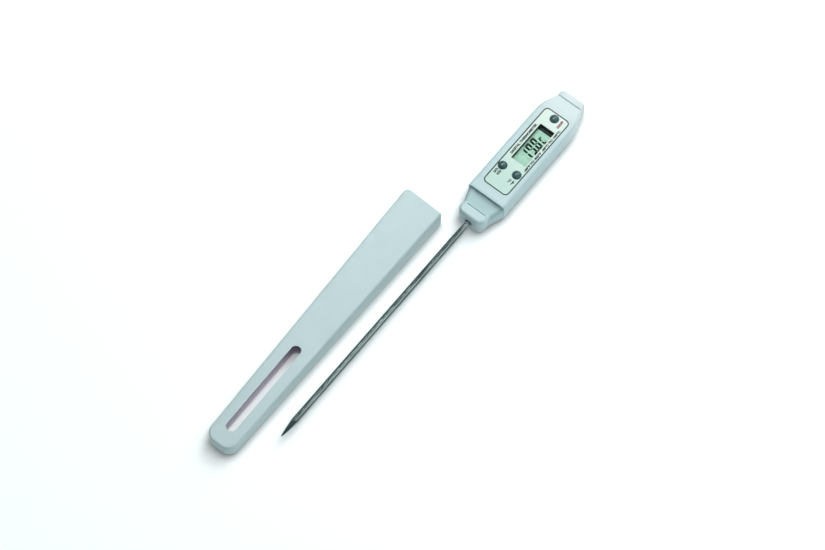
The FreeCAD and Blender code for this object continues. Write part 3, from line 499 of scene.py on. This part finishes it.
text_piece("title_print", "DIGITAL THERMOMETER", -4.4, 14.3, 3.9, 5.15, LZ, M_INK_TEXT, "handle")
text_piece("range_print", "-58°F TO 302°F  -50°C TO 150°C", -8.2, 17.8, -6.35, -5.25, LZ, M_INK_TEXT, "handle", bold=0.075)
text_piece("hold_print_a", "DATA", -16.6, -13.9, 3.95, 5.2, LZ, M_INK_TEXT, "handle", bold=0.075)
text_piece("hold_print_b", "HOLD", -16.6, -13.9, 2.25, 3.5, LZ, M_INK_TEXT, "handle", bold=0.075)
text_piece("unit_print_a", "°C", -16.9, -14.6, -3.95, -2.9, LZ, M_INK_TEXT, "handle", bold=0.075)
text_piece("unit_print_b", "°F", -16.9, -14.6, -5.7, -4.65, LZ, M_INK_TEXT, "handle", bold=0.075)
text_piece("power_print", "ON/OFF", 18.2, 22.5, -4.65, -3.4, LZ, M_INK_RED, "handle", bold=0.07)

# ------------------------------------------------------------------ display content
lcd_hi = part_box("lcd_panel")[1]
DZ = lcd_hi.z / MM
SLANT = math.tan(math.radians(6.0))


def slanted(pts, yc):
    return [(x + (y - yc) * SLANT, y) for x, y in pts]


def seven(xc, y0, y1, w, t, on):
    """Outlines of the lit bars of one digit; on holds letters a-g, g the middle bar."""
    ym = (y0 + y1) / 2
    xa, xb = xc - w / 2, xc + w / 2
    g = 0.035
    h = t / 2

    def hor(y):
        k = 0.30 * t
        return [(xa + h + g, y), (xa + t + g, y + k), (xb - t - g, y + k), (xb - h - g, y), (xb - t - g, y - k), (xa + t + g, y - k)]

    def top():
        y = y1
        return [(xa + g + 0.08, y), (xb - g - 0.08, y), (xb - t - g, y - t), (xa + t + g, y - t)]

    def bottom():
        y = y0
        return [(xa + t + g, y + t), (xb - t - g, y + t), (xb - g - 0.08, y), (xa + g + 0.08, y)]

    def ver(x, inner, ya, yb, outer_at_b):
        # vertical bar: x outer side, inner side at inner
        if outer_at_b:
            return [(x, ya + 0.20), (inner, ya + 0.30 * t + g + 0.06), (inner, yb - t - g), (x, yb - g - 0.08)]
        return [(x, ya + g + 0.08), (inner, ya + t + g), (inner, yb - 0.30 * t - g - 0.06), (x, yb - 0.20)]
    shapes = {
        "a": top(), "d": bottom(), "g": hor(ym),
        "f": ver(xa, xa + t, ym, y1, True), "b": ver(xb, xb - t, ym, y1, True),
        "e": ver(xa, xa + t, y0, ym, False), "c": ver(xb, xb - t, y0, ym, False),
    }
    return [slanted(shapes[k], ym) for k in on]


Y0, Y1 = -4.05, 2.42
YC0, YC1 = -4.05, -0.02
bars = []
bars += seven(0.2, Y0, Y1, 2.7, 1.0, "bc")
bars += seven(3.75, Y0, Y1, 2.75, 1.0, "abcdfg")
bars += seven(7.25, Y0, Y1, 2.75, 1.0, "abcdefg")
bars += seven(10.45, YC0, YC1, 2.05, 0.8, "aefd")
bars.append(slanted([(5.18, Y0), (5.82, Y0), (5.82, Y0 + 0.7), (5.18, Y0 + 0.7)], (Y0 + Y1) / 2))
bm = bmesh.new()
for b in bars:
    prism(bm, b, DZ + 0.02, DZ + 0.035)
mesh_piece("display_digits", bm, M_SEGMENT, "handle")
ghost = []
ghost += seven(0.2, Y0, Y1, 2.7, 1.0, "adefg")
ghost += seven(3.75, Y0, Y1, 2.75, 1.0, "e")
ghost += seven(10.45, YC0, YC1, 2.05, 0.8, "bcg")
bm = bmesh.new()
for b in ghost:
    prism(bm, b, DZ + 0.004, DZ + 0.012)
mesh_piece("display_unlit", bm, M_GHOST, "handle")
MX0, MX1, MY0, MY1 = 13.75, 15.58, -4.68, 3.18
bm = bmesh.new()
prism(bm, [(MX0, MY0), (MX1, MY0), (MX1, MY1), (MX0, MY1)], DZ + 0.004, DZ + 0.03)
mesh_piece("display_mask", bm, M_SEGMENT, "handle")
bm = bmesh.new()
prism(bm, [(MX0 + 0.5, MY0 + 0.5), (MX1 - 0.45, MY0 + 0.5), (MX1 - 0.45, MY1 - 0.5), (MX0 + 0.5, MY1 - 0.5)],
      DZ + 0.032, DZ + 0.045)
mesh_piece("display_mask_field", bm, M_MASK, "handle")

pane_lo, pane_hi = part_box("window_pane")
PZ = pane_lo.z / MM
bm = bmesh.new()
prism(bm, [(-5.98, 2.78), (15.58, 2.78), (15.58, 3.19), (-5.98, 3.19)], PZ - 0.028, PZ - 0.012)
mesh_piece("window_print", bm, M_SEGMENT, "handle")

# ------------------------------------------------------------------ floor, lights, camera
bm = bmesh.new()
N = 24
S = 1.6
vs = [[bm.verts.new((-0.08 + S * (2.0 * i / N - 1), S * (2.0 * j / N - 1), -0.00002)) for j in range(N + 1)] for i in range(N + 1)]
for i in range(N):
    for j in range(N):
        bm.faces.new((vs[i][j], vs[i + 1][j], vs[i + 1][j + 1], vs[i][j + 1]))
me = bpy.data.meshes.new("floor")
bm.to_mesh(me)
bm.free()
floor = bpy.data.objects.new("floor", me)
bpy.context.scene.collection.objects.link(floor)
mf, nt, bsdf, out = new_material("floor_card")
fv = noise(nt, coords(nt), 900.0, 3.0)
card = ramp(nt, fv, [(0.3, (0.82, 0.895, 0.91, 1)), (0.7, (0.84, 0.915, 0.93, 1))])
# Painted contact shadow: ambient occlusion darkens the floor's colour near the objects
contact_shadow_ao = nt.nodes.new("ShaderNodeAmbientOcclusion")
contact_shadow_ao.samples = 16
contact_shadow_ao.inputs["Distance"].default_value = 0.0038
painted_contact_shadow = math_node(nt, "POWER", contact_shadow_ao.outputs["AO"], 1.0)
nt.links.new(mix_colour(nt, painted_contact_shadow, (0.19, 0.185, 0.18, 1.0), card), bsdf.inputs["Base Color"])
bsdf.inputs["Roughness"].default_value = 0.9
bsdf.inputs["Specular IOR Level"].default_value = 0.1
bsdf.inputs["Emission Color"].default_value = (1.0, 0.99, 0.985, 1.0)
# the floor glows faintly so it stays white; the glow is weakened near the objects as part of the painted contact
# shadow
nt.links.new(math_node(nt, "MULTIPLY", painted_contact_shadow, 0.29), bsdf.inputs["Emission Strength"])
me.materials.append(mf)

w = bpy.data.worlds.new("studio")
bpy.context.scene.world = w
w.use_nodes = True
bg = w.node_tree.nodes["Background"]
bg.inputs["Color"].default_value = (0.86, 0.97, 1.0, 1.0)
bg.inputs["Strength"].default_value = 0.12


def area(name, at, to, size_x, size_y, power, colour):
    li = bpy.data.lights.new(name, "AREA")
    li.shape = "RECTANGLE"
    li.size, li.size_y = size_x, size_y
    li.energy = power
    li.color = colour
    o = bpy.data.objects.new(name, li)
    bpy.context.scene.collection.objects.link(o)
    o.location = at
    o.visible_transmission = False
    d = Vector(to) - Vector(at)
    o.rotation_mode = "QUATERNION"
    o.rotation_quaternion = d.to_track_quat("-Z", "Y")
    return o


C = (-0.07, 0.0, 0.0)
area("key_softbox", (0.90, 0.14, 0.80), C, 0.70, 0.70, 3.9, (1.0, 0.99, 0.975))
high = area("high_softbox", (0.62, -0.18, 1.04), C, 0.75, 0.75, 7.2, (1.0, 0.99, 0.975))
high.visible_glossy = False
top = area("top_softbox", (0.05, -0.10, 1.35), C, 1.4, 1.0, 6.9, (1.0, 1.0, 1.0))
top.visible_glossy = False


def strip(name, at, to, length, width, power):
    """Long narrow lamp, its long side along X."""
    o = area(name, at, to, length, width, power, (1.0, 1.0, 1.0))
    z = (Vector(at) - Vector(to)).normalized()
    x = (Vector((1, 0, 0)) - z * z.x).normalized()
    y = z.cross(x)
    o.rotation_quaternion = Matrix(((x.x, y.x, z.x), (x.y, y.y, z.y), (x.z, y.z, z.z))).to_quaternion()
    return o


# two strips that draw the bright lines along the probe
line_light = strip("strip_high", (0.178, 0.315, 0.95), (-0.10, 0.0, 0.0), 0.28, 0.12, 3.0)
line_light.visible_diffuse = False
low_light = strip("strip_low", (0.22, -0.50, 0.86), (-0.10, 0.0, 0.0), 0.34, 0.45, 0.75)
low_light.visible_diffuse = False
# soft sheen on the display end of the handle
strip("sheen_light", (0.60, 0.28, 0.95), (0.02, 0.0, 0.0), 0.22, 0.24, 1.0)

cam_data = bpy.data.cameras.new("camera")
cam = bpy.data.objects.new("camera", cam_data)
bpy.context.scene.collection.objects.link(cam)
TH, PH = math.radians(23.8), math.radians(51.26376857613233)
fwd = Vector((math.sin(PH), math.cos(PH), 0.0))
right = Vector((math.cos(PH), -math.sin(PH), 0.0))
up = fwd * math.cos(TH) + Vector((0, 0, math.sin(TH)))
back = right.cross(up)
cam.matrix_world = Matrix(((right.x, up.x, back.x, -0.41400005), (right.y, up.y, back.y, -0.26784795),
                           (right.z, up.z, back.z, 0.98815641), (0, 0, 0, 1)))
cam_data.sensor_width = 36.0
cam_data.lens = 106.88756
cam_data.clip_start, cam_data.clip_end = 0.01, 20.0
bpy.context.scene.camera = cam
